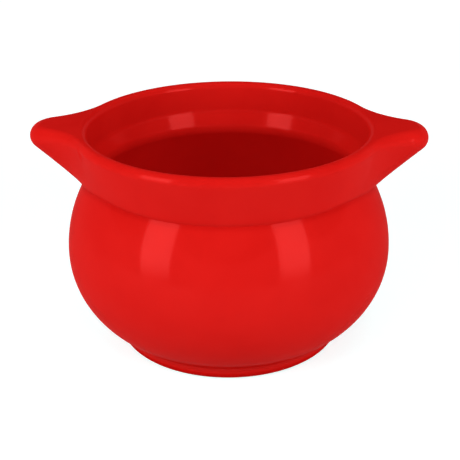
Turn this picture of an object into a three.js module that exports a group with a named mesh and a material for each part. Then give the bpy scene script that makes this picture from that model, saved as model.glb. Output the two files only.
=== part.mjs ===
// Glazed soup bowl with two lugs, in millimetres, +Z up.
// The origin is on the bowl's axis, at the underside of the foot. The lugs lie along X, the front is at -Y.
// The members are formed one by one and luted together: foot ring, belly, collar and two lugs.
import * as THREE from 'three';
import { mergeVertices } from 'three/addons/utils/BufferGeometryUtils.js';

// Belly: a circular arc above its widest line and an elliptical arc below it
const bellyRadius = 65;
const bellyWidestHeight = 38.2;
const shoulderDrawIn = 9.9;
const creaseHeight = 69.1;
const bellyBottomRadius = 22.3;
const bellyArcBelowTable = 1.2;
const wall = 4;
const floorThickness = 4;
const throatRound = 5;

// Foot ring
const footHeight = 5;
const footWidth = 7;
const footOuterRound = 2;
const footInnerRound = 1;

// Collar: a flared band that ends in a fully rounded lip, with a sloping ledge inside it
const collarHeight = 19.5;
const collarFlare = 4.9;
const lipRound = 2.6;
const ledgeHeight = 7;
const ledgeWidth = 3;

// Lugs: level with the rim, round at the tip and hollow at the root
const lugLength = 18.2;
const lugTipRadius = 11;
const lugRootRadius = 32;
const lugEdgeRound = 4.9;
const lugEdgeGrowth = 0.7;
const lugDip = 4.5;
const lugDipAngle = THREE.MathUtils.degToRad(21);
const lugRootThickness = 0.6;

// Luted joints: the slip between members, the tongue on the belly's rim and the boss inside the foot ring
const slipGap = 0.3;
const tongueHeight = 1.2;
const bossHeight = 1.2;

// Facets
const turnSegments = 64;
const arcStep = THREE.MathUtils.degToRad(9);
const lipArcStep = THREE.MathUtils.degToRad(30);
const lugTipColumns = 8;
const lugRootColumns = 6;
const lugUndersideRows = 4;
const lugEdgeRows = 5;
const lugSeatRows = 3;
const bisections = 40;

// Sizes that follow from those above
const creaseRadius = bellyRadius - shoulderDrawIn;
const shoulderRise = creaseHeight - bellyWidestHeight;
const shoulderArcRadius = (shoulderRise ** 2 + shoulderDrawIn ** 2) / (2 * shoulderDrawIn);
const shoulderArcCentre = new THREE.Vector2(bellyRadius - shoulderArcRadius, bellyWidestHeight);
const lowerArcWidth = bellyRadius - bellyBottomRadius;
const lowerArcDepth = bellyWidestHeight + bellyArcBelowTable;
const rimRadius = creaseRadius + collarFlare;
const rimHeight = creaseHeight + collarHeight;
const lipCentre = new THREE.Vector2(rimRadius - lipRound, rimHeight - lipRound);
const crease = new THREE.Vector2(creaseRadius, creaseHeight);
const innerArcRadius = shoulderArcRadius - wall;
const throatCentre = new THREE.Vector2(
  shoulderArcCentre.x + Math.sqrt((innerArcRadius + throatRound) ** 2 - shoulderRise ** 2),
  creaseHeight,
);
const throatRadius = throatCentre.x - throatRound;
const floorHeight = footHeight + floorThickness;
const wellCornerRadius = bellyWidestHeight - floorHeight;
const wellCornerCentre = new THREE.Vector2(bellyRadius - wall - wellCornerRadius, bellyWidestHeight);
const bellyRimWidth = creaseRadius - throatRadius;
const tongueMiddle = throatRadius + bellyRimWidth / 2;
const tongueWidth = bellyRimWidth / 3;
const footAngle = -Math.asin((bellyWidestHeight - footHeight) / lowerArcDepth);
const footRadius = bellyBottomRadius + lowerArcWidth * Math.cos(footAngle);
const footInnerRadius = footRadius - footWidth;
const bossRadius = footInnerRadius - slipGap;
const creaseAngle = Math.asin(shoulderRise / shoulderArcRadius);

// Points of an arc about a centre, both ends included, no further apart than the step
function arc(centre, radius, from, to, step = arcStep, height = radius) {
  const count = Math.max(1, Math.ceil(Math.abs(to - from) / step));
  return Array.from({ length: count + 1 }, (_, i) => {
    const angle = from + ((to - from) * i) / count;
    return new THREE.Vector2(centre.x + radius * Math.cos(angle), centre.y + height * Math.sin(angle));
  });
}

// Angle on a round at which a straight line from a point below meets it, on the round's outer side
function tangentAngle(across, up, round) {
  return Math.atan2(up, across) - Math.acos(-round / Math.hypot(across, up));
}

// Where the collar's outer face meets the lip's round
const collarOuterAngle = tangentAngle(lipCentre.x - creaseRadius, lipCentre.y - creaseHeight, lipRound);

// Where the face above the ledge meets the lip's round, and where the ledge meets the throat's round
const ledgeCorner = new THREE.Vector2(throatRadius + ledgeWidth, creaseHeight + ledgeHeight);
const ledgeToLip = lipCentre.clone().sub(ledgeCorner);
const collarInnerAngle = ledgeToLip.angle() + Math.acos(-lipRound / ledgeToLip.length());
const throatToLedge = ledgeCorner.clone().sub(throatCentre);
const ledgeAngle = throatToLedge.angle() + Math.acos(throatRound / throatToLedge.length());

// Body turned about Z from a profile of radius and height
function turned(profile) {
  const geometry = new THREE.LatheGeometry(profile, turnSegments);
  geometry.rotateX(Math.PI / 2);
  return weld(geometry);
}

// Geometry with its shared corners merged
function weld(geometry) {
  geometry.deleteAttribute('normal');
  geometry.deleteAttribute('uv');
  const welded = mergeVertices(geometry);
  welded.computeVertexNormals();
  return welded;
}

function glaze(color, roughness) {
  return new THREE.MeshStandardMaterial({ color, roughness, metalness: 0 });
}

function member(name, geometry, color, roughness) {
  const mesh = new THREE.Mesh(geometry, glaze(color, roughness));
  mesh.name = name;
  return mesh;
}

// Ring with a flat seat on top and two rounded edges underneath
function footRing() {
  const outer = new THREE.Vector2(footRadius - footOuterRound, footOuterRound);
  const inner = new THREE.Vector2(footInnerRadius + footInnerRound, footInnerRound);
  const profile = [
    ...arc(inner, footInnerRound, -Math.PI, -Math.PI / 2, lipArcStep),
    ...arc(outer, footOuterRound, -Math.PI / 2, 0, lipArcStep),
    new THREE.Vector2(footRadius, footHeight),
    new THREE.Vector2(footInnerRadius, footHeight),
  ];
  profile.push(profile[0].clone());
  return turned(profile);
}

// Soup well: a boss in the foot ring, the outside up to the crease, a tongue for the collar, the inside
function bellyShell() {
  const base = new THREE.Vector2(bellyBottomRadius, bellyWidestHeight);
  const throatLine = throatCentre.clone().sub(shoulderArcCentre).angle();
  const profile = [
    new THREE.Vector2(0, footHeight - bossHeight),
    new THREE.Vector2(bossRadius, footHeight - bossHeight),
    new THREE.Vector2(bossRadius, footHeight),
    ...arc(base, lowerArcWidth, footAngle, 0, arcStep, lowerArcDepth),
    ...arc(shoulderArcCentre, shoulderArcRadius, 0, creaseAngle).slice(1),
    new THREE.Vector2(tongueMiddle + tongueWidth / 2, creaseHeight),
    new THREE.Vector2(tongueMiddle + tongueWidth / 2, creaseHeight + tongueHeight),
    new THREE.Vector2(tongueMiddle - tongueWidth / 2, creaseHeight + tongueHeight),
    new THREE.Vector2(tongueMiddle - tongueWidth / 2, creaseHeight),
    ...arc(throatCentre, throatRound, Math.PI, Math.PI + throatLine, lipArcStep),
    ...arc(shoulderArcCentre, innerArcRadius, throatLine, 0).slice(1),
    ...arc(wellCornerCentre, wellCornerRadius, 0, -Math.PI / 2).slice(1),
    new THREE.Vector2(0, floorHeight),
  ];
  return turned(profile);
}

// Flared band on the belly's rim, over the lip and down a ledge to the throat, grooved for the tongue
function collar() {
  const grooveHalf = tongueWidth / 2 + slipGap;
  const grooveTop = creaseHeight + tongueHeight + slipGap;
  const profile = [
    crease,
    ...arc(lipCentre, lipRound, collarOuterAngle, collarInnerAngle, lipArcStep),
    ledgeCorner,
    ...arc(throatCentre, throatRound, ledgeAngle, Math.PI, lipArcStep),
    new THREE.Vector2(tongueMiddle - grooveHalf, creaseHeight),
    new THREE.Vector2(tongueMiddle - grooveHalf, grooveTop),
    new THREE.Vector2(tongueMiddle + grooveHalf, grooveTop),
    new THREE.Vector2(tongueMiddle + grooveHalf, creaseHeight),
    crease,
  ];
  return turned(profile);
}

// How far the lug's lower line dips below the crease at an angle from the lug's middle
function dipAt(angle) {
  return lugDip * Math.exp(-((angle / lugDipAngle) ** 2));
}

// The lug's outline in plan: points with their outward directions, from one end of the root round the tip.
// The tip is an arc, a hollow arc joins it to the rim's circle, and the root ends where it is thick enough.
function lugOutline() {
  const tip = new THREE.Vector2(rimRadius + lugLength - lugTipRadius, 0);
  const toHollow = rimRadius + lugRootRadius;
  const tipToHollow = lugTipRadius + lugRootRadius;
  const hollowX = (toHollow ** 2 - tipToHollow ** 2 + tip.x ** 2) / (2 * tip.x);
  const hollow = new THREE.Vector2(hollowX, Math.sqrt(toHollow ** 2 - hollowX ** 2));
  const rootReach = rimRadius + slipGap + lugRootThickness;
  const cosine = (toHollow ** 2 + rootReach ** 2 - lugRootRadius ** 2) / (2 * toHollow * rootReach);
  const rootAngle = hollow.angle() - Math.acos(cosine);
  const root = new THREE.Vector2(rootReach * Math.cos(rootAngle), rootReach * Math.sin(rootAngle));
  const tipEnd = hollow.clone().sub(tip).angle();
  const hollowStart = tipEnd + Math.PI;
  const hollowEnd = root.clone().sub(hollow).angle();
  const half = [];
  for (let i = 0; i <= lugTipColumns; i += 1) {
    const out = new THREE.Vector2(1, 0).rotateAround(new THREE.Vector2(), (tipEnd * i) / lugTipColumns);
    half.push({ point: tip.clone().addScaledVector(out, lugTipRadius), out });
  }
  for (let i = 1; i <= lugRootColumns; i += 1) {
    const angle = hollowStart + ((hollowEnd - hollowStart) * i) / lugRootColumns;
    const inward = new THREE.Vector2(Math.cos(angle), Math.sin(angle));
    half.push({ point: hollow.clone().addScaledVector(inward, lugRootRadius), out: inward.negate() });
  }
  const mirrored = half.slice(1).reverse().map(({ point, out }) => ({
    point: new THREE.Vector2(point.x, -point.y),
    out: new THREE.Vector2(out.x, -out.y),
  }));
  return [...mirrored, ...half];
}

// How thick the lug is at a point of its outside, measured from the slip on the lip's round
function thicknessOverLip(point) {
  const across = Math.hypot(point.x, point.y) - lipCentre.x;
  return Math.hypot(across, point.z - lipCentre.y) - lipRound - slipGap;
}

// The angle, no further than the top, at which the edge comes within the root's thickness of the lip
function lastEdgeAngle(onEdge, start) {
  let thick = start;
  let thin = Math.PI / 2;
  if (thicknessOverLip(onEdge(thin)) > lugRootThickness) {
    return thin;
  }
  for (let i = 0; i < bisections; i += 1) {
    const middle = (thick + thin) / 2;
    if (thicknessOverLip(onEdge(middle)) > lugRootThickness) {
      thick = middle;
    } else {
      thin = middle;
    }
  }
  return thick;
}

// The place, in radius and height, a slip's thickness off the belly's shoulder beside a height on it
function offShoulder(z) {
  const angle = Math.asin((z - bellyWidestHeight) / shoulderArcRadius);
  const radius = shoulderArcRadius + slipGap;
  return new THREE.Vector2(
    shoulderArcCentre.x + radius * Math.cos(angle),
    shoulderArcCentre.y + radius * Math.sin(angle),
  );
}

// The lug's seat in radius and height, a slip's thickness off lip and collar, from the top to the crease
function lugSeat(topAngle) {
  const middle = (collarOuterAngle + creaseAngle) / 2;
  const cornerGap = slipGap / Math.cos((creaseAngle - collarOuterAngle) / 2);
  const corner = new THREE.Vector2(cornerGap * Math.cos(middle), cornerGap * Math.sin(middle)).add(crease);
  const step = (topAngle - collarOuterAngle) / lugSeatRows;
  return [...arc(lipCentre, lipRound + slipGap, topAngle, collarOuterAngle, step), corner];
}

// Section of the lug at an outline point: its underside from the toe outwards, its edge and top, its seat
function lugSection({ point, out }) {
  const reach = (point.length() - rimRadius) / lugLength;
  const round = lipRound + (lugEdgeRound - lipRound) * reach ** lugEdgeGrowth;
  const towards = point.clone().normalize();
  const inPolarPlane = ({ x, y }) => new THREE.Vector3(towards.x * x, towards.y * x, y);
  const toe = offShoulder(creaseHeight - dipAt(Math.atan2(point.y, point.x)));
  const edge = point.clone().addScaledVector(out, -round);
  const edgeHeight = rimHeight - round;
  const onEdge = (angle) => new THREE.Vector3(
    edge.x + out.x * round * Math.cos(angle),
    edge.y + out.y * round * Math.cos(angle),
    edgeHeight + round * Math.sin(angle),
  );
  const across = edge.clone().addScaledVector(towards, -toe.x).dot(out);
  const start = tangentAngle(across, edgeHeight - toe.y, round);
  const end = lastEdgeAngle(onEdge, start);
  const flatTop = end === Math.PI / 2;
  const edgeSteps = flatTop ? lugEdgeRows : lugEdgeRows + 1;
  const outside = [];
  for (let i = 0; i < lugUndersideRows; i += 1) {
    outside.push(inPolarPlane(toe).lerp(onEdge(start), i / lugUndersideRows));
  }
  for (let i = 0; i <= edgeSteps; i += 1) {
    outside.push(onEdge(start + ((end - start) * i) / edgeSteps));
  }
  if (flatTop) {
    const clear = lipRound + slipGap + lugRootThickness;
    const topRadius = lipCentre.x + Math.sqrt(clear ** 2 - lipRound ** 2);
    outside.push(inPolarPlane(new THREE.Vector2(topRadius, rimHeight)));
  }
  const last = outside.at(-1);
  const topAngle = Math.atan2(last.z - lipCentre.y, Math.hypot(last.x, last.y) - lipCentre.x);
  return [...outside, ...lugSeat(topAngle).map(inPolarPlane)];
}

// Handle at +X: sections carried round the outline, closed by a face at each end of the root
function lug() {
  const sections = lugOutline().map(lugSection);
  const rows = sections[0].length;
  const positions = sections.flat().flatMap((point) => point.toArray());
  const index = [];
  for (let column = 0; column < sections.length - 1; column += 1) {
    for (let row = 0; row < rows; row += 1) {
      const next = (row + 1) % rows;
      const [a, b] = [column * rows + row, column * rows + next];
      const [c, d] = [a + rows, b + rows];
      index.push(a, c, b, b, c, d);
    }
  }
  const first = sections[0].map(({ x, y, z }) => new THREE.Vector2(Math.hypot(x, y), z));
  const lastStart = (sections.length - 1) * rows;
  for (const [a, b, c] of THREE.ShapeUtils.triangulateShape(first, [])) {
    index.push(a, b, c);
    index.push(lastStart + a, lastStart + c, lastStart + b);
  }
  const geometry = new THREE.BufferGeometry();
  geometry.setAttribute('position', new THREE.Float32BufferAttribute(positions, 3));
  geometry.setIndex(index);
  geometry.computeVertexNormals();
  return geometry;
}

const bowl = new THREE.Group();
bowl.add(member('foot_ring', footRing(), 0xb80c08, 0.25));
bowl.add(member('belly_shell', bellyShell(), 0xd0140f, 0.12));
bowl.add(member('collar', collar(), 0xd0140f, 0.12));
bowl.add(member('right_lug', lug(), 0xd0140f, 0.12));
const leftLug = member('left_lug', lug(), 0xd0140f, 0.12);
leftLug.rotation.z = Math.PI;
bowl.add(leftLug);

export default bowl;
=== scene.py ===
"""Red glazed soup bowl with two lugs: its finished surfaces, glaze and stage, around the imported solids.

Lengths are in metres, in the frame of the solids: the origin is on the bowl's axis at the underside of the
foot, +Z is up, the lugs lie along X and the front is at -Y. The pieces are surfaces of two parameters: most
are profiles carried round the axis, and a lug is a section carried round the outline that it has in plan.
"""
import math
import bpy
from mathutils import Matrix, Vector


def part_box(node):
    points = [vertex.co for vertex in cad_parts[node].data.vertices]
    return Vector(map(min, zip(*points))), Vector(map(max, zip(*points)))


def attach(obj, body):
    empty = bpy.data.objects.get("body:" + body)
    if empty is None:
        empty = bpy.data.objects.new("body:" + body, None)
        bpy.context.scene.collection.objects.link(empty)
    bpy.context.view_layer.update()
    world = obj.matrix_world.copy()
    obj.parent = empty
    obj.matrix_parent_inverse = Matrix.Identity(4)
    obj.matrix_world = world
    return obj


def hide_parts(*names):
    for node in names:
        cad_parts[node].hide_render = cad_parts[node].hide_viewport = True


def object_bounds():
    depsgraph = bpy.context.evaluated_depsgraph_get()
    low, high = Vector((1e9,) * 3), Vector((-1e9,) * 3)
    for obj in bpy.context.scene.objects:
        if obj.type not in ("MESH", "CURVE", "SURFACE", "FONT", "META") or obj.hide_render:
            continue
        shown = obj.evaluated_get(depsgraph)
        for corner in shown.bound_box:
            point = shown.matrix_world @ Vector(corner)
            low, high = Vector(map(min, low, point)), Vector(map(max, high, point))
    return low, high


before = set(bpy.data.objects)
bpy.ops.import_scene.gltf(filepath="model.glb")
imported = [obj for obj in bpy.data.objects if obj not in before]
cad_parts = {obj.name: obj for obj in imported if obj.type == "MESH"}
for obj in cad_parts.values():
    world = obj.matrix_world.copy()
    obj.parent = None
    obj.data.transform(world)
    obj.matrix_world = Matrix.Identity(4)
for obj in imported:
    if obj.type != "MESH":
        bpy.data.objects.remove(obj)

import types
from functools import partial

import bpy
import numpy as np
from mathutils import Quaternion, Vector

bl_info = {
    "name": "Glazed soup bowl",
    "version": (1, 0, 0),
    "blender": (4, 5, 0),
    "location": "View3D > Sidebar > Soup bowl",
    "description": "Builds a red glazed soup bowl with two lugs, and the stage it stands on",
    "category": "Add Mesh",
}

SOLIDS_LOW, SOLIDS_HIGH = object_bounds()
BELLY_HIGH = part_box("belly_shell")[1]
COLLAR_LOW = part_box("collar")[0]
FOOT_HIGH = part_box("foot_ring")[1]
LUG_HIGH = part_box("right_lug")[1]

# Facets of the smooth surfaces
TURN_COLUMNS = 360
LUG_COLUMNS = 176
FLOOR_COLUMNS = 80
SLOPE_STEP = 1e-4
SLOPE_EDGE = 2e-4
POLE_RADIUS = 2e-8
HALVINGS = 40
HALF_TURN = np.array([-1.0, -1.0, 1.0])

# Share of a lug's hidden side that lies behind the collar's face, below the lip's round
FACE_SHARE = 0.8

# Unevenness of the glaze and the clay: scales of noise on metres, and the stretch of each that is used
PATCH_SCALE, PATCH_STRETCH = 55.0, (0.42, 0.62)
FINE_SCALE, FINE_STRETCH = 900.0, (0.3, 0.7)
GRAIN_SCALE, GRAIN_STRETCH = 1600.0, (0.45, 0.65)
WAVE_SCALE, WAVE_HEIGHT, WAVE_STRENGTH = 130.0, 0.00002, 0.6
ROUGHNESS_RANGE = (0.08, 0.14)
GLAZE_IOR = 1.5
BARE_EDGE = 1.5

# The floor lies a little under the foot, and its glow starts to change at this distance from the axis
FLOOR_DROP = 0.0002
NEAR_FLOOR = 0.2

# The photograph's frame
PICTURE_PIXELS = 460
SENSOR_WIDTH_MM = 36.0
CLIP_START = 0.01


def setting(name, description, default, kind=bpy.props.FloatProperty, **limits):
    """A number or a colour that a user may change."""
    return kind(name=name, description=description, default=default, **limits)


def turn(name, description, degrees):
    """An angle, given in degrees and kept in radians."""
    return setting(name, description, math.radians(degrees), subtype="ANGLE")


amount = partial(setting, min=0.0)
share = partial(setting, min=0.0, max=1.0, subtype="FACTOR")
length = partial(setting, min=0.0, precision=5, unit="LENGTH")
colour = partial(setting, kind=bpy.props.FloatVectorProperty, size=3, min=0.0, max=1.0, subtype="COLOR")


class BowlSizes(bpy.types.PropertyGroup):
    """Sizes of the bowl. Those that the solids' boxes show come from them."""

    belly_radius: length("Belly radius", "Half of the belly's greatest width", BELLY_HIGH.x)
    widest_height: length("Widest height", "Height of the belly's widest line", 0.0382)
    shoulder_draw_in: length("Shoulder draw-in", "How far the belly draws in up to the crease", 0.0099)
    crease_height: length("Crease height", "Height of the crease between belly and collar", COLLAR_LOW.z)
    belly_bottom_radius: length("Belly bottom radius", "Radius at which the lower arc starts", 0.0223)
    arc_below_table: length("Arc below table", "How far the lower arc goes below the foot", 0.0012)
    wall: length("Wall", "Thickness of the belly's wall", 0.004)
    floor_thickness: length("Floor", "Thickness of the floor above the foot ring", 0.004)
    throat_round: length("Throat round", "Round inside, between belly and collar", 0.005)
    foot_height: length("Foot height", "Height of the foot ring", FOOT_HIGH.z)
    foot_width: length("Foot width", "Width of the foot ring", 0.007)
    foot_outer_round: length("Foot outer round", "Round of the foot's outer lower edge", 0.002)
    foot_inner_round: length("Foot inner round", "Round of the foot's inner lower edge", 0.001)
    recess_depth: length("Recess depth", "Depth of the hollow inside the foot ring", 0.0038)
    rim_height: length("Rim height", "Height of the rim and of the lugs' tops", LUG_HIGH.z)
    collar_flare: length("Collar flare", "How much wider the rim is than the crease", 0.0049)
    lip_round: length("Lip round", "Radius of the fully rounded lip", 0.0026)
    lug_reach: length("Lug reach", "Distance from the axis to a lug's tip", LUG_HIGH.x)
    lug_tip_radius: length("Lug tip radius", "Radius of a lug's tip in plan", 0.011)
    lug_root_radius: length("Lug root radius", "Radius of the hollow between lug and rim in plan", 0.032)
    lug_edge_round: length("Lug edge round", "Radius of a lug's edge at its tip", 0.0049)
    lug_edge_growth: share("Lug edge growth", "How soon the edge's round grows from root to tip", 0.70)
    lug_dip: length("Lug dip", "How far the crease dips under a lug", 0.0045)
    lug_dip_angle: turn("Lug dip angle", "How far round the axis that dip spreads", 21.0)
    ledge_height: length("Ledge height", "Height above the crease of the ledge inside the collar", 0.0070)
    ledge_width: length("Ledge width", "How much wider the collar is above it than at the throat", 0.0030)
    ledge_round: length("Ledge round", "Round of the corner above the ledge", 0.007)
    crease_fillet: length("Crease fillet", "Round of the glaze in the crease", 0.00045)
    foot_fillet: length("Foot fillet", "Round between belly and foot ring", 0.0045)
    glaze_overlap: length("Glaze overlap", "How deep a piece reaches into the next", 0.0003)
    lug_sink: length("Lug sink", "How far a lug lies below the collar's skin where they meet", 0.000012)
    lug_blend: length("Lug blend", "Way over which a lug's shading eases into the collar's", 0.003)


class GlazeColours(bpy.types.PropertyGroup):
    """Colours and finish of the glaze and of the bare clay."""

    red: colour("Red", "The glaze where it is of even thickness", (0.735, 0.0066, 0.0050))
    deep_red: colour("Deep red", "The glaze where it lies a little thicker", (0.715, 0.0058, 0.0044))
    # Painted shade: this darker red in the crease stands partly for glaze pooled there and partly for the
    # shade that falls in the crease.
    pooled_and_shaded_red: colour("Pooled red", "The glaze where it has pooled in a crease", (0.62, 0.0040, 0.0031))
    # A darker red for the glaze on the foot ring: the bowl is darker towards the bottom.
    foot_red: colour("Foot red", "The thicker glaze that has run down the foot", (0.64, 0.0031, 0.0023))
    edge_red: colour("Edge red", "Tint of the pigment's gloss at a glancing angle", (0.80, 0.03, 0.025))
    clay: colour("Clay", "The bare clay that the bowl stands on", (0.56, 0.40, 0.27))
    clay_dark: colour("Dark clay", "Darker grains of the bare clay", (0.36, 0.24, 0.15))
    # Width of that darker band in the crease, which is pooled glaze and painted crease shade.
    pool_and_shade_width: length("Pool width", "How far from a crease the glaze is thicker", 0.0011)
    bare_height: length("Bare height", "Up to where the foot is wiped clean of glaze", 0.00025)
    gloss: share("Gloss", "Strength of the clear, mirror-like top of the glaze", 0.038)
    gloss_roughness: share("Gloss roughness", "How blurred the reflections in it are", 0.09)
    pigment_gloss: share("Pigment gloss", "Strength of the red gloss of the pigment under it", 0.040)


class StageSettings(bpy.types.PropertyGroup):
    """Floor, lamps and camera."""

    floor_colour: colour("Floor", "Colour of the floor", (0.62, 0.62, 0.62))
    floor_reach: length("Floor reach", "Half of the floor's width", 3.0)
    sweep_start: length("Sweep start", "Distance from the axis at which the floor starts to rise", 1.5)
    sweep_height: length("Sweep height", "How high the floor has risen at the middle of each side", 0.9)
    floor_glow: amount("Floor glow", "What brings the floor up to white, near the bowl", 0.62)
    far_floor_glow: amount("Far floor glow", "The same far away, where the lamps reach less", 0.90)
    far_floor: length("Far floor", "Distance from the axis at which the floor counts as far away", 0.9)
    air_strength: amount("Air", "Even light from all round", 0.12)
    top_strength: amount("Top lamp", "Radiance of the wide soft lamp overhead", 0.78)
    top_height: length("Top lamp height", "Height of that lamp", 1.1)
    top_width: length("Top lamp width", "Width of that lamp, which is square", 1.6)
    side_strength: amount("Side lamps", "Radiance of the soft lamp on either side", 2.0)
    side_distance: length("Side lamp distance", "From the bowl to each side lamp", 0.7)
    side_width: length("Side lamp width", "Width of each side lamp", 0.5)
    side_height: length("Side lamp height", "Height of each side lamp", 0.3)
    side_azimuth: turn("Side lamp azimuth", "How far to the side each of them stands", 62.0)
    side_elevation: turn("Side lamp elevation", "How far each of them leans over the bowl", 14.0)
    left_strength: amount("Left panel", "Radiance of the tall soft panel on the left", 9.9)
    right_strength: amount("Right panel", "Radiance of the tall soft panel on the right", 8.8)
    panel_colour: colour("Panel colour", "Tint of the cool light of both panels", (0.45, 1.0, 1.0))
    panel_distance: length("Panel distance", "From the bowl to each panel", 0.5)
    panel_width: length("Panel width", "Width of each panel", 0.187)
    panel_height: length("Panel height", "Height of each panel", 0.46)
    panel_azimuth: turn("Panel azimuth", "How far to the side each panel stands", 47.6)
    panel_elevation: turn("Panel elevation", "How far each panel leans over the bowl", 20.0)
    panel_roll: turn("Panel roll", "How far each panel's top leans outwards", 8.0)
    panel_fade: share("Panel fade", "Share of a panel's height over which it fades out below", 0.3)
    view_distance: length("View distance", "From the camera to the point it looks at", 0.43104)
    view_aim_height: length("Aim height", "Height of that point", 0.04289)
    view_aim_right: length("Aim right", "How far that point lies to the right of the axis", 0.00053)
    view_elevation: turn("Elevation", "Angle of the camera above the horizon", 24.477)
    view_azimuth: turn("Azimuth", "Angle of the camera to the right of the front", 2.697)
    view_roll: turn("Roll", "Turn of the camera about its line of sight", -0.459)
    focal_pixels: amount("Focal length", "Focal length in pixels of the picture", 1054.86)


def tangent_angle(across, up, radius):
    """Angle on a round at which a straight line from a point below meets it: the angle of the way from the
    point to the centre, less the arc cosine of minus the radius over that way's length."""
    return np.arctan2(up, across) - np.arccos(-radius / np.hypot(across, up))


def touching_angle(way, radius):
    """Angle of a way, plus the arc cosine of a radius over its length."""
    return math.atan2(way[1], way[0]) + math.acos(radius / np.hypot(*way))


def bowl_form(sizes):
    """The arcs and corners that follow from the sizes, each centre or corner as (radius, height).

    The shoulder's arc goes through the widest line and the crease, and the throat's round touches the wall
    inside it. In the collar, a steep face goes down from the lip's round to a corner, and a sloping ledge
    from there to the throat's round. A lug's tip is an arc, and a hollow arc touches it and the rim.
    """
    form = types.SimpleNamespace(sizes=sizes)
    rise = sizes.crease_height - sizes.widest_height
    draw_in = sizes.shoulder_draw_in
    form.crease = np.array([sizes.belly_radius - draw_in, sizes.crease_height])
    form.shoulder_radius = (rise**2 + draw_in**2) / (2 * draw_in)
    form.shoulder_centre = np.array([sizes.belly_radius - form.shoulder_radius, sizes.widest_height])
    form.shoulder_end = math.asin(rise / form.shoulder_radius)
    form.lower_centre = np.array([sizes.belly_bottom_radius, sizes.widest_height])
    form.lower_width = sizes.belly_radius - sizes.belly_bottom_radius
    form.lower_depth = sizes.widest_height + sizes.arc_below_table
    form.foot_angle = -math.asin((sizes.widest_height - sizes.foot_height) / form.lower_depth)
    form.foot_radius = sizes.belly_bottom_radius + form.lower_width * math.cos(form.foot_angle)
    form.foot_inner_radius = form.foot_radius - sizes.foot_width
    form.foot_fillet_angle = foot_fillet_angle(form)

    form.inner_radius = form.shoulder_radius - sizes.wall
    throat_reach = math.sqrt((form.inner_radius + sizes.throat_round) ** 2 - rise**2)
    form.throat_centre = np.array([form.shoulder_centre[0] + throat_reach, sizes.crease_height])
    form.throat_angle = math.atan2(rise, throat_reach)
    form.throat_radius = form.throat_centre[0] - sizes.throat_round
    form.floor_height = sizes.foot_height + sizes.floor_thickness
    form.corner_radius = sizes.widest_height - form.floor_height
    inner_belly = sizes.belly_radius - sizes.wall
    form.corner_centre = np.array([inner_belly - form.corner_radius, sizes.widest_height])

    form.rim_radius = form.crease[0] + sizes.collar_flare
    form.lip_centre = np.array([form.rim_radius - sizes.lip_round, sizes.rim_height - sizes.lip_round])
    ledge_top = sizes.crease_height + sizes.ledge_height
    form.ledge_corner = np.array([form.throat_radius + sizes.ledge_width, ledge_top])
    form.inner_face_angle = touching_angle(form.lip_centre - form.ledge_corner, -sizes.lip_round)
    form.ledge_angle = touching_angle(form.ledge_corner - form.throat_centre, sizes.throat_round)

    form.lug_length = sizes.lug_reach - form.rim_radius
    form.tip_centre = sizes.lug_reach - sizes.lug_tip_radius
    to_hollow = form.rim_radius + sizes.lug_root_radius
    tip_to_hollow = sizes.lug_tip_radius + sizes.lug_root_radius
    hollow_x = (to_hollow**2 - tip_to_hollow**2 + form.tip_centre**2) / (2 * form.tip_centre)
    form.hollow_centre = np.array([hollow_x, math.sqrt(to_hollow**2 - hollow_x**2)])
    form.hollow_angle = math.atan2(form.hollow_centre[1], form.hollow_centre[0])
    form.tip_end = math.atan2(form.hollow_centre[1], form.hollow_centre[0] - form.tip_centre)
    form.tip_way = sizes.lug_tip_radius * form.tip_end
    form.root_way = form.tip_way + sizes.lug_root_radius * (form.tip_end - form.hollow_angle)
    bend = 1 / form.rim_radius + 1 / sizes.lug_root_radius
    form.join_way = form.root_way - math.sqrt(2 * sizes.lug_sink / bend)
    return form


def lower_point(form, bend):
    """Point of the belly's lower arc and its outward direction there."""
    cos, sin = math.cos(bend), math.sin(bend)
    point = form.lower_centre + np.array([form.lower_width * cos, form.lower_depth * sin])
    return point, unit(np.array([cos / form.lower_width, sin / form.lower_depth]))


def foot_fillet_angle(form):
    """Where on the lower arc the round above the foot ring ends: where a circle that touches the arc from
    outside there also touches the ring's outer wall, found by halving."""
    low, high = form.foot_angle, 0.0
    for _ in range(HALVINGS):
        middle = (low + high) / 2
        point, out = lower_point(form, middle)
        beyond = point[0] + out[0] * form.sizes.foot_fillet > form.foot_radius + form.sizes.foot_fillet
        low, high = (low, middle) if beyond else (middle, high)
    return low


def unit(vector):
    """The vector divided by its length."""
    return vector / np.linalg.norm(vector, axis=-1, keepdims=True)


def on_ring(radius, height, angle):
    """Points (radius cos angle, radius sin angle, height)."""
    radius, height, angle = np.broadcast_arrays(radius, height, angle)
    return np.stack([radius * np.cos(angle), radius * np.sin(angle), height], axis=-1)


def carried(profile):
    """Surface of a profile, which gives radius and height from t, carried round the axis."""
    return lambda t, angle: on_ring(*profile(t), angle)


def straight(start, end):
    """Surface start + t (end - start), where the two ends are corners carried round the axis."""
    return carried(lambda t: [start[k] + (end[k] - start[k]) * t for k in range(2)])


def bowed(centre, radius, start, end, height=None):
    """Surface centre + (radius cos a, height sin a), carried round the axis, with a from start to end."""
    rise = radius if height is None else height

    def profile(t):
        bend = start + (end - start) * t
        return centre[0] + radius * np.cos(bend), centre[1] + rise * np.sin(bend)

    return carried(profile)


def sampled(surface, t, u):
    """Points of surface(t, u) on the grid of the column t and the row u, and unit normals: the cross
    product of the slopes along u and along t, each the difference of two nearby points."""
    t, u = np.broadcast_arrays(t[:, None], u[None, :])
    inside = np.clip(t, SLOPE_EDGE, 1 - SLOPE_EDGE)
    along = surface(inside + SLOPE_STEP, u) - surface(inside - SLOPE_STEP, u)
    around = surface(inside, u + SLOPE_STEP) - surface(inside, u - SLOPE_STEP)
    return surface(t, u), unit(np.cross(around, along))


def corners(grid):
    """The four corners of every cell of a grid, from one column to the next, then to the next row."""
    cells = np.stack([grid[:-1, :-1], grid[:-1, 1:], grid[1:, 1:], grid[1:, :-1]], axis=2)
    return cells.reshape(-1, 4, *grid.shape[2:])


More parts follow.
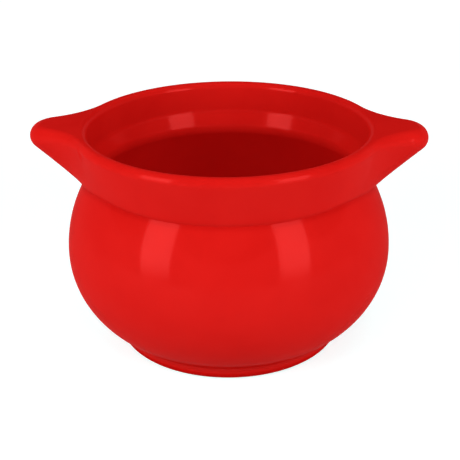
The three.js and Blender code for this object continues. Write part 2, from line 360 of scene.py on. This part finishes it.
def piece_from_patches(name, points, patches):
    """Makes an object from points and patches, each patch a grid of point numbers and its normals.

    A patch with no normals gets flat ones. A cell with two corners in one point, beside a pole, becomes a
    triangle, and points that no cell uses are dropped.
    """
    quads = np.concatenate([corners(ids) for ids, _ in patches])
    a, b, c, d = (points[quads[:, k]] for k in range(4))
    flat = unit(np.cross(c - a, d - b))
    flat = np.repeat(flat[:, None, :], 4, axis=1)
    start, normals = 0, []
    for ids, patch_normals in patches:
        count = (ids.shape[0] - 1) * (ids.shape[1] - 1)
        normals.append(flat[start : start + count] if patch_normals is None else corners(patch_normals))
        start += count
    normals = np.concatenate(normals)

    pole_first = quads[:, 0] == quads[:, 1]
    pole_last = quads[:, 2] == quads[:, 3]
    whole = ~(pole_first | pole_last)
    triangles = np.concatenate([quads[pole_first][:, [0, 2, 3]], quads[pole_last][:, [0, 1, 2]]])
    triangle_normals = np.concatenate([normals[pole_first][:, [0, 2, 3]], normals[pole_last][:, [0, 1, 2]]])
    face_corners = np.concatenate([quads[whole].ravel(), triangles.ravel()])
    used, numbers = np.unique(face_corners, return_inverse=True)
    quad_corners = 4 * int(whole.sum())
    faces = numbers[:quad_corners].reshape(-1, 4).tolist() + numbers[quad_corners:].reshape(-1, 3).tolist()

    mesh = bpy.data.meshes.new(name)
    mesh.from_pydata(points[used], [], faces)
    mesh.polygons.foreach_set("use_smooth", np.ones(len(faces), dtype=bool))
    corner_normals = [normals[whole].reshape(-1, 3), triangle_normals.reshape(-1, 3)]
    mesh.normals_split_custom_set(np.concatenate(corner_normals))
    mesh.update()
    piece = bpy.data.objects.new(name, mesh)
    bpy.context.scene.collection.objects.link(piece)
    return piece


def turned_piece(name, runs):
    """Makes a body of runs carried round the axis, each a surface and its number of rows, end to end.

    The profile either starts and ends on the axis, in a pole, or its last run ends where the first starts.
    """
    angle = np.linspace(0, 2 * math.pi, TURN_COLUMNS, endpoint=False)
    grids, normals = zip(*[sampled(surface, np.linspace(0, 1, rows + 1), angle) for surface, rows in runs])
    has_poles = np.hypot(*grids[0][0, 0, :2]) < POLE_RADIUS
    points = np.concatenate([grid[:-1] for grid in grids] + ([grids[-1][-1:]] if has_poles else []))
    row_count = len(points)
    numbers = np.arange(row_count * TURN_COLUMNS).reshape(row_count, TURN_COLUMNS)
    if has_poles:
        numbers[[0, -1]] = numbers[[0, -1], :1]
    first, patches = 0, []
    for (_, rows), normal in zip(runs, normals):
        ids = numbers[np.arange(first, first + rows + 1) % row_count]
        patches.append((np.hstack([ids, ids[:, :1]]), np.hstack([normal, normal[:, :1]])))
        first += rows
    return piece_from_patches(name, points.reshape(-1, 3), patches)


def crease_drop(form, angle):
    """How far the crease dips at an angle round the axis: a bell curve about the nearer lug."""
    off_lug = np.arctan2(np.abs(np.sin(angle)), np.abs(np.cos(angle)))
    return form.sizes.lug_dip * np.exp(-((off_lug / form.sizes.lug_dip_angle) ** 2))


def toe(form, angle):
    """Where the collar or a lug meets the belly at an angle: the point's radius and height, and the angle
    of the belly's outward direction above the horizon there."""
    height = form.sizes.crease_height - crease_drop(form, angle)
    slope = np.arcsin((height - form.sizes.widest_height) / form.shoulder_radius)
    return form.shoulder_centre[0] + form.shoulder_radius * np.cos(slope), height, slope


def corner_round(corner, up, down, radius):
    """Round in an inner corner between two directions: its centre, and where it touches each of them.

    Half the angle between the directions gives the way from the corner to the centre, radius / sine, and to
    the touching points, radius / tangent.
    """
    half = np.arccos(np.sum(up * down, axis=-1, keepdims=True)) / 2
    centre = corner + unit(up + down) * radius / np.sin(half)
    reach = radius / np.tan(half)
    return centre, corner + down * reach, corner + up * reach


def swung(centre, start, end, t):
    """Arc about a centre from start to end: the two arms mixed by sin((1 - t) w) and sin(t w) over sin w,
    where w is the angle between them."""
    first, last = start - centre, end - centre
    w = np.arccos(np.sum(unit(first) * unit(last), axis=-1, keepdims=True))
    t = np.asarray(t)[..., None]
    return centre + (np.sin((1 - t) * w) * first + np.sin(t * w) * last) / np.sin(w)


def turned_arc(centre, start, end):
    """Surface of an arc about a centre from start to end, carried round the axis."""
    return carried(lambda t: np.moveaxis(swung(centre, start, end, t), -1, 0))


def lip_start(form, radius, height):
    """Angle at which the collar's outer face, from a toe's radius and height, meets the lip's round."""
    return tangent_angle(form.lip_centre[0] - radius, form.lip_centre[1] - height, form.sizes.lip_round)


def on_lip(form, bend, angle):
    """Point of the lip's round: its centre, out by round cos bend and up by round sin bend."""
    out, up = form.sizes.lip_round * np.cos(bend), form.sizes.lip_round * np.sin(bend)
    return on_ring(form.lip_centre[0] + out, form.lip_centre[1] + up, angle)


def collar_section(form, angle):
    """The collar's outer face at an angle: its toe on the belly, its glaze corner there, and where it meets
    the lip."""
    section = types.SimpleNamespace()
    radius, height, slope = toe(form, angle)
    section.toe = on_ring(radius, height, angle)
    section.lip_start = lip_start(form, radius, height)
    section.lip = on_lip(form, section.lip_start, angle)
    add_glaze_corner(form, section, section.lip, slope, angle)
    return section


def add_glaze_corner(form, section, face_end, slope, angle):
    """Adds the glaze's round between the belly and the face above the toe, and where it is hidden."""
    down = on_ring(np.sin(slope), -np.cos(slope), angle)
    up = unit(face_end - section.toe)
    fillet = form.sizes.crease_fillet
    section.centre, section.low, section.high = corner_round(section.toe, up, down, fillet)
    belly_out = on_ring(np.cos(slope), np.sin(slope), angle)
    section.hidden = section.low - belly_out * form.sizes.glaze_overlap


def mixed(start, end, t):
    """Straight way start + t (end - start)."""
    return start + (end - start) * np.asarray(t)[..., None]


def collar_runs(form):
    """The collar's skin, from the crease up its flared outside, over the lip, down the inside face and the
    ledge below it, and back in the joint."""
    sizes = form.sizes
    throat_corner = (form.throat_radius, sizes.crease_height)
    inner = np.array([math.cos(form.inner_face_angle), math.sin(form.inner_face_angle)])

    def into_glaze(t, angle):
        section = collar_section(form, angle)
        return mixed(section.hidden, section.low, t)

    def crease_glaze(t, angle):
        section = collar_section(form, angle)
        return swung(section.centre, section.low, section.high, t)

    def outer_face(t, angle):
        section = collar_section(form, angle)
        return mixed(section.high, section.lip, t)

    def lip(t, angle):
        start = collar_section(form, angle).lip_start
        return on_lip(form, start + (form.inner_face_angle - start) * t, angle)

    def joint_face(t, angle):
        return mixed(on_ring(*throat_corner, angle), collar_section(form, angle).hidden, t)

    ledge = np.array([math.cos(form.ledge_angle), math.sin(form.ledge_angle)])
    face_top = form.lip_centre + inner * sizes.lip_round
    ledge_end = form.throat_centre + ledge * sizes.throat_round
    up, down = unit(face_top - form.ledge_corner), unit(ledge_end - form.ledge_corner)
    centre, ledge_start, face_end = corner_round(form.ledge_corner, up, down, sizes.ledge_round)
    throat = bowed(form.throat_centre, sizes.throat_round, form.ledge_angle, math.pi)
    return [
        (into_glaze, 1),
        (crease_glaze, 6),
        (outer_face, 22),
        (lip, 30),
        (straight(face_top, face_end), 12),
        (turned_arc(centre, face_end, ledge_start), 6),
        (straight(ledge_start, ledge_end), 8),
        (throat, 14),
        (joint_face, 2),
    ]


def belly_runs(form):
    """The belly's skin: from the foot's hollow out and up to the crease, and back inside to the floor."""
    sizes = form.sizes
    overlap, fillet = sizes.glaze_overlap, sizes.foot_inner_round
    recess_corner = (form.foot_inner_radius - fillet, sizes.recess_depth)
    recess_low = (form.foot_inner_radius, sizes.recess_depth - fillet)
    seat_in = (form.foot_inner_radius + overlap, sizes.foot_height)
    seat_out = (form.foot_radius - overlap, sizes.foot_height)

    high, out = lower_point(form, form.foot_fillet_angle)
    centre = high + out * sizes.foot_fillet
    low = np.array([form.foot_radius, centre[1]])
    return [
        (straight((0.0, sizes.recess_depth), recess_corner), 8),
        (bowed((recess_corner[0], recess_low[1]), fillet, math.pi / 2, 0.0), 6),
        (straight(recess_low, (seat_in[0], recess_low[1])), 1),
        (straight((seat_in[0], recess_low[1]), seat_in), 1),
        (straight(seat_in, seat_out), 1),
        (straight(seat_out, (seat_out[0], low[1])), 1),
        (straight((seat_out[0], low[1]), low), 1),
        (turned_arc(centre, low, high), 12),
        (bowed(form.lower_centre, form.lower_width, form.foot_fillet_angle, 0.0, form.lower_depth), 48),
        (bowed(form.shoulder_centre, form.shoulder_radius, 0.0, form.shoulder_end), 32),
        (straight(form.crease, (form.throat_radius, sizes.crease_height)), 1),
        (bowed(form.throat_centre, sizes.throat_round, math.pi, math.pi + form.throat_angle), 10),
        (bowed(form.shoulder_centre, form.inner_radius, form.throat_angle, 0.0), 30),
        (bowed(form.corner_centre, form.corner_radius, 0.0, -math.pi / 2), 40),
        (straight((form.corner_centre[0], form.floor_height), (0.0, form.floor_height)), 8),
    ]


def foot_runs(form):
    """The foot ring's skin: down its inner wall, over the standing face, up its outer wall, to its seat."""
    sizes = form.sizes
    inner, outer = form.foot_inner_radius, form.foot_radius
    inner_round, outer_round = sizes.foot_inner_round, sizes.foot_outer_round
    top = sizes.foot_height
    return [
        (straight((inner, top), (inner, inner_round)), 6),
        (bowed((inner + inner_round, inner_round), inner_round, -math.pi, -math.pi / 2), 8),
        (straight((inner + inner_round, 0.0), (outer - outer_round, 0.0)), 6),
        (bowed((outer - outer_round, outer_round), outer_round, -math.pi / 2, 0.0), 12),
        (straight((outer, outer_round), (outer, top)), 6),
        (straight((outer, top), (inner, top)), 1),
    ]


def lug_outline(form, way):
    """The right lug's outline and the rim beside it, in plan, at a way from the tip: points and outward
    directions. It is the tip's arc, the hollow arc and the rim's circle, and the same on the other side."""
    sizes = form.sizes
    side, way = np.where(way < 0, -1.0, 1.0), np.abs(way)
    tip = way / sizes.lug_tip_radius
    hollow = form.tip_end + math.pi - (way - form.tip_way) / sizes.lug_root_radius
    rim = form.hollow_angle + (way - form.root_way) / form.rim_radius
    on_tip, on_hollow = way <= form.tip_way, way <= form.root_way
    angle = np.where(on_tip, tip, np.where(on_hollow, hollow + math.pi, rim))
    past_tip = np.where(on_hollow, -sizes.lug_root_radius, form.rim_radius)
    radius = np.where(on_tip, sizes.lug_tip_radius, past_tip)
    centre_x = np.where(on_tip, form.tip_centre, np.where(on_hollow, form.hollow_centre[0], 0.0))
    centre_y = np.where(on_hollow & ~on_tip, form.hollow_centre[1], 0.0)
    out = np.stack([np.cos(angle), side * np.sin(angle)], axis=-1)
    point = np.stack([centre_x, side * centre_y], axis=-1) + radius[..., None] * out
    return point, out


def lug_section(form, along):
    """A lug's section at a share of the way from tip to root: the toe on the belly, the glaze corner there,
    the edge's round, which grows with the reach from the rim, and how far it and the flat top go."""
    sizes = form.sizes
    section = types.SimpleNamespace()
    point, section.out = lug_outline(form, along * form.root_way)
    angle = np.arctan2(point[..., 1], point[..., 0])
    reach = np.maximum(np.linalg.norm(point, axis=-1) - form.rim_radius, 0.0) / form.lug_length
    growth = (sizes.lug_edge_round - sizes.lip_round) * reach**sizes.lug_edge_growth
    section.round = sizes.lip_round + growth
    section.edge = point - section.out * (section.round + sizes.lug_sink)[..., None]
    section.edge_height = sizes.rim_height - sizes.lug_sink - section.round
    radius, height, slope = toe(form, angle)
    section.toe = on_ring(radius, height, angle)
    across = np.sum((section.edge - section.toe[..., :2]) * section.out, axis=-1)
    section.start = tangent_angle(across, section.edge_height - height, section.round)
    edge_radius = np.linalg.norm(section.edge, axis=-1)
    section.flat = np.maximum(edge_radius - form.lip_centre[0], 0.0)
    off_top = np.clip((form.lip_centre[0] - edge_radius) / section.round, 0.0, 1.0)
    section.end = np.arccos(off_top)
    section.under_end = on_edge(section, section.start)
    add_glaze_corner(form, section, section.under_end, slope, angle)
    section.angle = angle
    section.top_angle = np.arctan2(section.edge[..., 1], section.edge[..., 0])
    return section


def on_edge(section, bend):
    """Point of the edge's round: its centre, out by round cos bend and up by round sin bend."""
    plan = section.edge + section.out * (section.round * np.cos(bend))[..., None]
    height = section.edge_height + section.round * np.sin(bend)
    return np.concatenate([plan, height[..., None]], axis=-1)


def lug_surfaces(form):
    """The visible skin of the right lug as surfaces of t and of that share: the glaze in the corner, the
    straight underside, then the edge's round with the flat top behind it."""

    def crease_glaze(t, along):
        section = lug_section(form, along)
        return swung(section.centre, section.low, section.high, t)

    def underside(t, along):
        section = lug_section(form, along)
        return mixed(section.high, section.under_end, t)

    def edge_and_top(t, along):
        section = lug_section(form, along)
        sweep = section.round * (section.end - section.start)
        gone = t * (sweep + section.flat)
        bend = section.start + np.minimum(gone, sweep) / section.round
        inwards = np.maximum(gone - sweep, 0.0)
        return on_edge(section, bend) - on_ring(1.0, 0.0, section.top_angle) * inwards[..., None]

    return [(crease_glaze, 6), (underside, 22), (edge_and_top, 44)]


def lug_joint(form, along, share_up):
    """The side of a lug that is hidden in the collar: the collar's section, a little inside its skin, from
    the toe along the outer face and over the lip's round as the share goes from 0 to 1."""
    section = lug_section(form, along)
    angle = section.angle + (section.top_angle - section.angle) * share_up
    radius, height, _ = toe(form, angle)
    depth = form.sizes.glaze_overlap
    start = lip_start(form, radius, height)
    face_gone = np.clip(share_up / FACE_SHARE, 0.0, 1.0)
    lip_gone = np.clip((share_up - FACE_SHARE) / (1 - FACE_SHARE), 0.0, 1.0)
    bend = start + (math.pi / 2 - start) * lip_gone
    inner_round = form.sizes.lip_round - depth
    toe_radius = radius - depth * np.cos(start)
    toe_height = height - depth * np.sin(start)
    lip_radius = form.lip_centre[0] + inner_round * np.cos(bend)
    lip_height = form.lip_centre[1] + inner_round * np.sin(bend)
    return on_ring(
        toe_radius + (lip_radius - toe_radius) * face_gone,
        toe_height + (lip_height - toe_height) * face_gone,
        angle,
    )


def eased_normals(form, along, normals):
    """Turns a lug's normals about Z, near its ends, until they lie radially there as the collar's do."""
    section = lug_section(form, along)
    past_join = np.abs(along) * form.root_way - form.join_way
    near_end = np.clip(past_join / form.sizes.lug_blend + 1, 0.0, 1.0)
    off = section.angle - np.arctan2(section.out[..., 1], section.out[..., 0])
    off = off * near_end**2 * (3 - 2 * near_end)
    x, y, z = np.moveaxis(normals, -1, 0)
    return np.stack([x * np.cos(off) - y * np.sin(off), x * np.sin(off) + y * np.cos(off), z], axis=-1)


def lug_piece(name, form, half_turn):
    """Makes a lug: its visible skin, the side hidden in the collar behind it, and a face at each end."""
    along = np.linspace(-1.0, 1.0, LUG_COLUMNS + 1)
    surfaces = lug_surfaces(form)
    samples = [sampled(surface, np.linspace(0, 1, rows + 1), along) for surface, rows in surfaces]
    grids, normals = zip(*samples)
    hidden = lug_section(form, along).hidden[None]
    skin = np.concatenate([hidden] + [grid[:-1] for grid in grids] + [grids[-1][-1:]])
    share_up, columns = np.meshgrid(np.linspace(0, 1, len(skin)), along, indexing="ij")
    joint = lug_joint(form, columns, share_up)
    points = np.concatenate([skin, joint])
    numbers = np.arange(points.shape[0] * points.shape[1]).reshape(points.shape[:2])
    front, back = numbers[: len(skin)], numbers[len(skin) :]
    first, patches = 1, [(front[:2], None)]
    for (_, rows), normal in zip(surfaces, normals):
        patches.append((front[first : first + rows + 1], eased_normals(form, along, normal)))
        first += rows
    patches += [
        (np.stack([front[-1], back[-1]]), None),
        (back[::-1], None),
        (np.stack([back[0], front[0]]), None),
        (np.stack([back[:, 0], front[:, 0]], axis=1), None),
        (np.stack([front[:, -1], back[:, -1]], axis=1), None),
    ]
    if half_turn:
        points = points * HALF_TURN
        patches = [(ids, None if normal is None else normal * HALF_TURN) for ids, normal in patches]
    return piece_from_patches(name, points.reshape(-1, 3), patches)


def mark_pools_and_shade(piece, form, width):
    """Gives each point outside its share of pooled glaze and painted crease shade: a bell curve of its
    height from the crease.
    """
    co = np.empty(len(piece.data.vertices) * 3, np.float32)
    piece.data.vertices.foreach_get("co", co)
    x, y, z = co.reshape(-1, 3).T.astype(float)
    radius, angle = np.hypot(x, y), np.arctan2(y, x)
    crease_height = form.sizes.crease_height - crease_drop(form, angle)
    outside = radius > form.throat_radius + form.sizes.wall / 2
    values = np.exp(-(((z - crease_height) / width) ** 2)) * outside
    piece.data.attributes.new("pool_and_shade", "FLOAT", "POINT").data.foreach_set("value", values.astype(np.float32))


def set_inputs(node, **inputs):
    """Sets inputs of a node by their names, with _ for a space."""
    for name, value in inputs.items():
        node.inputs[name.replace("_", " ")].default_value = value


def new_node(tree, kind, place, **inputs):
    """Adds a node, puts it at a place in the editor and sets its inputs."""
    node = tree.nodes.new(kind)
    node.location = place
    set_inputs(node, **inputs)
    return node


def noise(tree, place, scale, detail, roughness=0.5):
    """Noise on the piece's own coordinates, in metres: a scale of 100 makes patches of about 10 mm."""
    at = tree.nodes.get("Texture Coordinate") or new_node(tree, "ShaderNodeTexCoord", (-1500, 0))
    node = new_node(tree, "ShaderNodeTexNoise", place, Scale=scale, Detail=detail, Roughness=roughness)
    tree.links.new(at.outputs["Object"], node.inputs["Vector"])
    return node.outputs["Fac"]


def remap(tree, place, value, low, high, to_low=0.0, to_high=1.0):
    """Maps a value from one range to another, kept inside it."""
    node = new_node(tree, "ShaderNodeMapRange", place, From_Min=low, From_Max=high)
    set_inputs(node, To_Min=to_low, To_Max=to_high)
    tree.links.new(value, node.inputs["Value"])
    return node.outputs["Result"]


def combine(tree, place, operation, first, second):
    """Joins two values by an operation of the Math node."""
    node = new_node(tree, "ShaderNodeMath", place)
    node.operation = operation
    tree.links.new(first, node.inputs[0])
    tree.links.new(second, node.inputs[1])
    return node.outputs["Value"]


def blend_colours(tree, place, share_of_second, first, second):
    """Mixes two colours, each a socket or a colour."""
    node = new_node(tree, "ShaderNodeMix", place)
    node.data_type = "RGBA"
    tree.links.new(share_of_second, node.inputs["Factor"])
    for socket, value in ((node.inputs[6], first), (node.inputs[7], second)):
        if isinstance(value, bpy.types.NodeSocket):
            tree.links.new(value, socket)
        else:
            socket.default_value = (*value, 1.0)
    return node.outputs[2]


def glaze_material(name, colours, bare_foot=False):
    """Red glaze: a coloured coat under a clear glossy top, in patches a little thicker or thinner, and
    faintly uneven. It is darker in the crease, both for glaze that has pooled there and as painted shade in
    the crease. With a bare foot, the standing face is dry clay, and the glaze round it is a darker red and
    has no clear top."""
    material = bpy.data.materials.get(name)
    if material:
        return material
    material = bpy.data.materials.new(name)
    material.use_nodes = True
    tree = material.node_tree
    shader = tree.nodes["Principled BSDF"]
    set_inputs(
        shader,
        Specular_IOR_Level=0.0,
        Metallic=colours.pigment_gloss,
        Specular_Tint=(*colours.edge_red, 1.0),
        Coat_Weight=0.0 if bare_foot else colours.gloss,
        Coat_Roughness=colours.gloss_roughness,
        Coat_IOR=GLAZE_IOR,
    )

    patches = remap(tree, (-900, 300), noise(tree, (-1200, 300), PATCH_SCALE, 2.0), *PATCH_STRETCH)
    # On the foot ring the glaze is a darker red, so the bowl is darker towards the bottom.
    thin, thick = (colours.foot_red, colours.pooled_and_shaded_red) if bare_foot else (colours.red, colours.deep_red)
    base = blend_colours(tree, (-650, 300), patches, thin, thick)
    pool_and_shade = new_node(tree, "ShaderNodeAttribute", (-1200, 0))
    pool_and_shade.attribute_name = "pool_and_shade"
    # Painted shade: darkens the crease, partly for pooled glaze and partly for the shade that falls there.
    base = blend_colours(tree, (-400, 250), pool_and_shade.outputs["Fac"], base, colours.pooled_and_shaded_red)

    fine = noise(tree, (-1200, -500), FINE_SCALE, 3.0)
    waves = noise(tree, (-1200, -750), WAVE_SCALE, 1.0)
    roughness = remap(tree, (-900, -500), fine, *FINE_STRETCH, *ROUGHNESS_RANGE)
    bump = new_node(tree, "ShaderNodeBump", (-300, -600), Strength=WAVE_STRENGTH, Distance=WAVE_HEIGHT)
    tree.links.new(waves, bump.inputs["Height"])
    if bare_foot:
        at = tree.nodes["Texture Coordinate"]
        split = new_node(tree, "ShaderNodeSeparateXYZ", (-1200, -250))
        tree.links.new(at.outputs["Object"], split.inputs["Vector"])
        bare_edge = (colours.bare_height, colours.bare_height * BARE_EDGE)
        bare = remap(tree, (-900, -250), split.outputs["Z"], *bare_edge, 1.0, 0.0)
        grains = remap(tree, (-900, -50), noise(tree, (-1200, 120), GRAIN_SCALE, 4.0, 0.7), *GRAIN_STRETCH)
        clay = blend_colours(tree, (-650, -50), grains, colours.clay, colours.clay_dark)
        base = blend_colours(tree, (-200, 200), bare, base, clay)
        roughness = combine(tree, (-500, -400), "MAXIMUM", roughness, bare)
    tree.links.new(base, shader.inputs["Base Color"])
    tree.links.new(roughness, shader.inputs["Roughness"])
    tree.links.new(bump.outputs["Normal"], shader.inputs["Normal"])
    tree.links.new(bump.outputs["Normal"], shader.inputs["Coat Normal"])
    return material


def bowl_settings(context):
    """The bowl's form and the glaze's colours, from the scene's settings."""
    return bowl_form(context.scene.bowl_sizes), context.scene.bowl_colours


def finish_piece(piece, form, colours, material, node):
    """Marks the pooled glaze and painted crease shade, gives the piece its material, and lets it stand for
    a node of the solids.
    """
    mark_pools_and_shade(piece, form, colours.pool_and_shade_width)
    piece.data.materials.append(material)
    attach(piece, "root")
    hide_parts(node)


class BOWL_OT_foot_ring(bpy.types.Operator):
    """Builds the foot ring, glazed on its sides and wiped clean where it stands"""

    bl_idname = "bowl.foot_ring"
    bl_label = "Foot ring"

    def execute(self, context):
        form, colours = bowl_settings(context)
        piece = turned_piece("glazed_foot_ring", foot_runs(form))
        material = glaze_material("red_glaze_on_foot", colours, bare_foot=True)
        finish_piece(piece, form, colours, material, "foot_ring")
        return {"FINISHED"}


class BOWL_OT_belly(bpy.types.Operator):
    """Builds the belly with the soup well inside it"""

    bl_idname = "bowl.belly"
    bl_label = "Belly"

    def execute(self, context):
        form, colours = bowl_settings(context)
        piece = turned_piece("glazed_belly", belly_runs(form))
        material = glaze_material("red_glaze", colours)
        finish_piece(piece, form, colours, material, "belly_shell")
        return {"FINISHED"}


class BOWL_OT_collar(bpy.types.Operator):
    """Builds the flared collar with its rounded lip"""

    bl_idname = "bowl.collar"
    bl_label = "Collar"

    def execute(self, context):
        form, colours = bowl_settings(context)
        piece = turned_piece("glazed_collar", collar_runs(form))
        finish_piece(piece, form, colours, glaze_material("red_glaze", colours), "collar")
        return {"FINISHED"}


class BOWL_OT_lugs(bpy.types.Operator):
    """Builds the two lugs that flow out of the collar"""

    bl_idname = "bowl.lugs"
    bl_label = "Lugs"

    def execute(self, context):
        form, colours = bowl_settings(context)
        for node, half_turn in (("right_lug", False), ("left_lug", True)):
            piece = lug_piece("glazed_" + node, form, half_turn)
            finish_piece(piece, form, colours, glaze_material("red_glaze", colours), node)
        return {"FINISHED"}


def seen_directly(tree, place):
    """1 on rays from the camera and on mirrored and refracted ones, 0 on those that carry light."""
    path = new_node(tree, "ShaderNodeLightPath", place)
    value = path.outputs["Is Camera Ray"]
    for k, name in enumerate(("Is Glossy Ray", "Is Transmission Ray")):
        beside = (place[0] + 200 * (k + 1), place[1])
        value = combine(tree, beside, "MAXIMUM", value, path.outputs[name])
    return value


def make_floor(stage):
    """Makes the plain floor, whose lit colour a glow brings up to white where it is seen. It is flat round
    the bowl, and from where its sweep begins it rises with the square of the way outwards."""
    side = np.linspace(-stage.floor_reach, stage.floor_reach, FLOOR_COLUMNS + 1)
    x, y = np.meshgrid(side, side, indexing="xy")
    outwards = (np.hypot(x, y) - stage.sweep_start) / (stage.floor_reach - stage.sweep_start)
    points = np.stack([x, y, stage.sweep_height * np.maximum(outwards, 0.0) ** 2 - FLOOR_DROP], axis=-1)
    numbers = np.arange(x.size).reshape(x.shape)
    floor = piece_from_patches("floor", points.reshape(-1, 3), [(numbers, None)])
    material = bpy.data.materials.new("pale_floor")
    material.use_nodes = True
    tree = material.node_tree
    shader = tree.nodes["Principled BSDF"]
    set_inputs(shader, Base_Color=(*stage.floor_colour, 1.0), Emission_Color=(1.0, 1.0, 1.0, 1.0))
    set_inputs(shader, Roughness=1.0, Specular_IOR_Level=0.0)
    at = new_node(tree, "ShaderNodeTexCoord", (-900, -600))
    away = new_node(tree, "ShaderNodeVectorMath", (-700, -600))
    away.operation = "LENGTH"
    tree.links.new(at.outputs["Object"], away.inputs[0])
    glows = (stage.floor_glow, stage.far_floor_glow)
    glow = remap(tree, (-500, -600), away.outputs["Value"], NEAR_FLOOR, stage.far_floor, *glows)
    seen_glow = combine(tree, (-250, -300), "MULTIPLY", seen_directly(tree, (-900, -300)), glow)
    tree.links.new(seen_glow, shader.inputs["Emission Strength"])
    floor.data.materials.append(material)


def make_air(stage):
    """Makes the even light from all round."""
    world = bpy.data.worlds.new("pale_air")
    world.use_nodes = True
    background = world.node_tree.nodes["Background"]
    set_inputs(background, Color=(1.0, 1.0, 1.0, 1.0), Strength=stage.air_strength)
    bpy.context.scene.world = world


def direction(azimuth, elevation):
    """Way to a place at an azimuth to the right of the front and an elevation above the horizon."""
    reach = math.cos(elevation)
    return Vector((math.sin(azimuth) * reach, -math.cos(azimuth) * reach, math.sin(elevation)))


def make_lamp(name, size, radiance, away, distance):
    """Makes a rectangular lamp that faces the bowl's middle. Its power is radiance x pi x area."""
    data = bpy.data.lights.new(name, "AREA")
    data.shape = "RECTANGLE"
    data.size, data.size_y = size
    data.energy = radiance * math.pi * data.size * data.size_y
    lamp = bpy.data.objects.new(name, data)
    lamp.location = Vector((0.0, 0.0, SOLIDS_HIGH.z / 2)) + away * distance
    lamp.rotation_mode = "QUATERNION"
    lamp.rotation_quaternion = (-away).to_track_quat("-Z", "Y")
    lamp.visible_camera = False
    bpy.context.scene.collection.objects.link(lamp)
    return lamp


def make_soft_lamps(stage):
    """Makes the wide lamps overhead and on either side, which light the bowl but aren't mirrored in it."""
    top_size = (stage.top_width, stage.top_width)
    top = make_lamp("top_lamp", top_size, stage.top_strength, direction(0.0, math.pi / 2), stage.top_height)
    top.visible_glossy = False
    for name, side in (("left_lamp", -1), ("right_lamp", 1)):
        away = direction(side * stage.side_azimuth, stage.side_elevation)
        size = (stage.side_width, stage.side_height)
        lamp = make_lamp(name, size, stage.side_strength, away, stage.side_distance)
        lamp.visible_glossy = False


def make_panel(name, stage, side, radiance):
    """Makes a tall soft panel on one side, with light that fades out towards its lower edge."""
    away = direction(side * stage.panel_azimuth, stage.panel_elevation)
    size = (stage.panel_width, stage.panel_height)
    panel = make_lamp(name, size, radiance, away, stage.panel_distance)
    panel.rotation_quaternion @= Quaternion((0.0, 0.0, 1.0), -side * stage.panel_roll)
    panel.data.color = stage.panel_colour
    panel.data.use_nodes = True
    tree = panel.data.node_tree
    across = new_node(tree, "ShaderNodeNewGeometry", (-700, 0))
    split = new_node(tree, "ShaderNodeSeparateXYZ", (-500, 0))
    tree.links.new(across.outputs["Parametric"], split.inputs["Vector"])
    fade = remap(tree, (-300, 0), split.outputs["Y"], 0.0, stage.panel_fade)
    tree.links.new(fade, tree.nodes["Emission"].inputs["Strength"])


def make_camera(stage):
    """Makes the camera at the photograph's angle: it looks at a point beside the axis, slightly rolled."""
    back = direction(stage.view_azimuth, stage.view_elevation)
    right = Vector((math.cos(stage.view_azimuth), math.sin(stage.view_azimuth), 0.0))
    data = bpy.data.cameras.new("camera")
    data.sensor_width = SENSOR_WIDTH_MM
    data.lens = stage.focal_pixels * SENSOR_WIDTH_MM / PICTURE_PIXELS
    data.clip_start = CLIP_START
    camera = bpy.data.objects.new("camera", data)
    aim = Vector((0.0, 0.0, stage.view_aim_height)) + right * stage.view_aim_right
    camera.location = aim + back * stage.view_distance
    camera.rotation_mode = "QUATERNION"
    facing = (-back).to_track_quat("-Z", "Y")
    camera.rotation_quaternion = facing @ Quaternion((0.0, 0.0, 1.0), stage.view_roll)
    bpy.context.scene.collection.objects.link(camera)
    bpy.context.scene.camera = camera


class BOWL_OT_stage(bpy.types.Operator):
    """Builds the floor, the lamps, the even light and the camera"""

    bl_idname = "bowl.stage"
    bl_label = "Stage"

    def execute(self, context):
        stage = context.scene.bowl_stage
        make_floor(stage)
        make_air(stage)
        make_soft_lamps(stage)
        make_panel("left_panel", stage, -1, stage.left_strength)
        make_panel("right_panel", stage, 1, stage.right_strength)
        make_camera(stage)
        context.scene.view_settings.view_transform = "Standard"
        return {"FINISHED"}


OPERATORS = (BOWL_OT_foot_ring, BOWL_OT_belly, BOWL_OT_collar, BOWL_OT_lugs, BOWL_OT_stage)


class BOWL_PT_sidebar(bpy.types.Panel):
    """Lists the steps that build the bowl"""

    bl_idname = "BOWL_PT_sidebar"
    bl_label = "Soup bowl"
    bl_space_type = "VIEW_3D"
    bl_region_type = "UI"
    bl_category = "Soup bowl"

    def draw(self, context):
        for operator in OPERATORS:
            self.layout.operator(operator.bl_idname)


SETTINGS = (("bowl_sizes", BowlSizes), ("bowl_colours", GlazeColours), ("bowl_stage", StageSettings))
CLASSES = (*(group for _, group in SETTINGS), *OPERATORS, BOWL_PT_sidebar)


def register():
    """Makes the settings, the steps and the sidebar known to Blender."""
    for cls in CLASSES:
        bpy.utils.register_class(cls)
    for name, group in SETTINGS:
        setattr(bpy.types.Scene, name, bpy.props.PointerProperty(type=group))


def unregister():
    """Takes them away again."""
    for name, _ in SETTINGS:
        delattr(bpy.types.Scene, name)
    for cls in reversed(CLASSES):
        bpy.utils.unregister_class(cls)


def main():
    register()
    bpy.ops.bowl.foot_ring()
    bpy.ops.bowl.belly()
    bpy.ops.bowl.collar()
    bpy.ops.bowl.lugs()
    bpy.ops.bowl.stage()
    bpy.context.view_layer.update()


if __name__ == "__main__":
    main()
